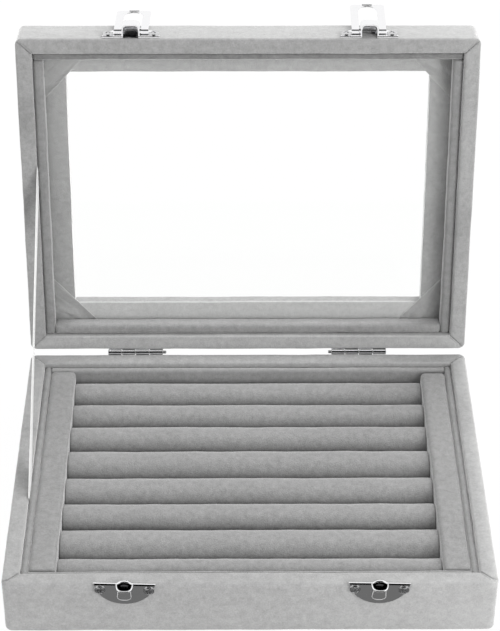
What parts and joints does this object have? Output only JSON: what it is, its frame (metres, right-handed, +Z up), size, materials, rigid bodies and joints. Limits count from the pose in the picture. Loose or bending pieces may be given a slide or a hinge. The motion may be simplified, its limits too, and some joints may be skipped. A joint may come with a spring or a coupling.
{
  "type": "ring display box",
  "caption": "Hinged display box for rings: velvet-covered base with padded rolls, glazed lid on a ribbon stay, two snap latches.",
  "frame": {"origin": "centre of the underside of the base", "axes": "+X to the right along the hinge line, +Y from the latches to the hinges, +Z up; shown with the lid open"},
  "size_m": [0.2, 0.2093, 0.1822],
  "materials": {
    "velvet": "short grey velvet pile",
    "velvet_lining": "short grey velvet pile over padding",
    "velvet_insert": "short grey velvet pile over foam",
    "board": "raw grey board",
    "bottom_paper": "embossed dark paper",
    "nickel": "bright nickel plate",
    "screw_steel": "bright plated screws",
    "pin_steel": "drawn steel",
    "glass": "clear float glass",
    "ribbon": "white satin ribbon"
  },
  "bodies": {
    "base": {"base_front_wall": "board", "base_back_wall": "board", "base_left_wall": "board", "base_right_wall": "board", "base_bottom_board": "board", "base_bottom_cover": "bottom_paper", "base_velvet_cover": "velvet", "base_liner_front": "velvet_lining", "base_liner_back": "velvet_lining", "base_liner_left": "velvet_lining", "base_liner_right": "velvet_lining", "insert_card": "velvet_insert", "insert_rail_left": "velvet_insert", "insert_rail_right": "velvet_insert", "ring_roll_1": "velvet_insert", "ring_roll_2": "velvet_insert", "ring_roll_3": "velvet_insert", "ring_roll_4": "velvet_insert", "ring_roll_5": "velvet_insert", "ring_roll_6": "velvet_insert", "ring_roll_7": "velvet_insert", "ring_roll_8": "velvet_insert", "catch_plate_left": "nickel", "catch_plate_right": "nickel", "catch_screws": "screw_steel", "base_hinge_leaf_left": "nickel", "base_hinge_leaf_right": "nickel", "base_hinge_screws": "screw_steel", "hinge_pin_left": "pin_steel", "hinge_pin_right": "pin_steel", "stay_ribbon": "ribbon"},
    "lid": {"lid_front_wall": "board", "lid_back_wall": "board", "lid_left_wall": "board", "lid_right_wall": "board", "lid_window_frame": "board", "lid_velvet_cover": "velvet", "window_glass": "glass", "window_corner_patches": "velvet_lining", "lid_liner_front": "velvet_lining", "lid_liner_back": "velvet_lining", "lid_liner_left": "velvet_lining", "lid_liner_right": "velvet_lining", "latch_plate_left": "nickel", "latch_plate_right": "nickel", "latch_screws": "screw_steel", "lid_hinge_leaf_left": "nickel", "lid_hinge_leaf_right": "nickel", "lid_hinge_screws": "screw_steel"},
    "left_flap": {"latch_flap_left": "nickel"},
    "right_flap": {"latch_flap_right": "nickel"}
  },
  "joints": [
    {"name": "lid_hinge", "type": "hinge", "parent": "base", "child": "lid", "pos_m": [0, 0.0762, 0.0277], "axis": [1, 0, 0], "range_deg": [0, 100], "deforming": ["stay_ribbon"]},
    {"name": "left_latch", "type": "hinge", "parent": "lid", "child": "left_flap", "pos_m": [-0.0503, 0.10978, 0.17724], "axis": [1, 0, 0], "range_deg": [-5, 174]},
    {"name": "right_latch", "type": "hinge", "parent": "lid", "child": "right_flap", "pos_m": [0.052, 0.10978, 0.17724], "axis": [1, 0, 0], "range_deg": [-14, 165]}
  ]
}
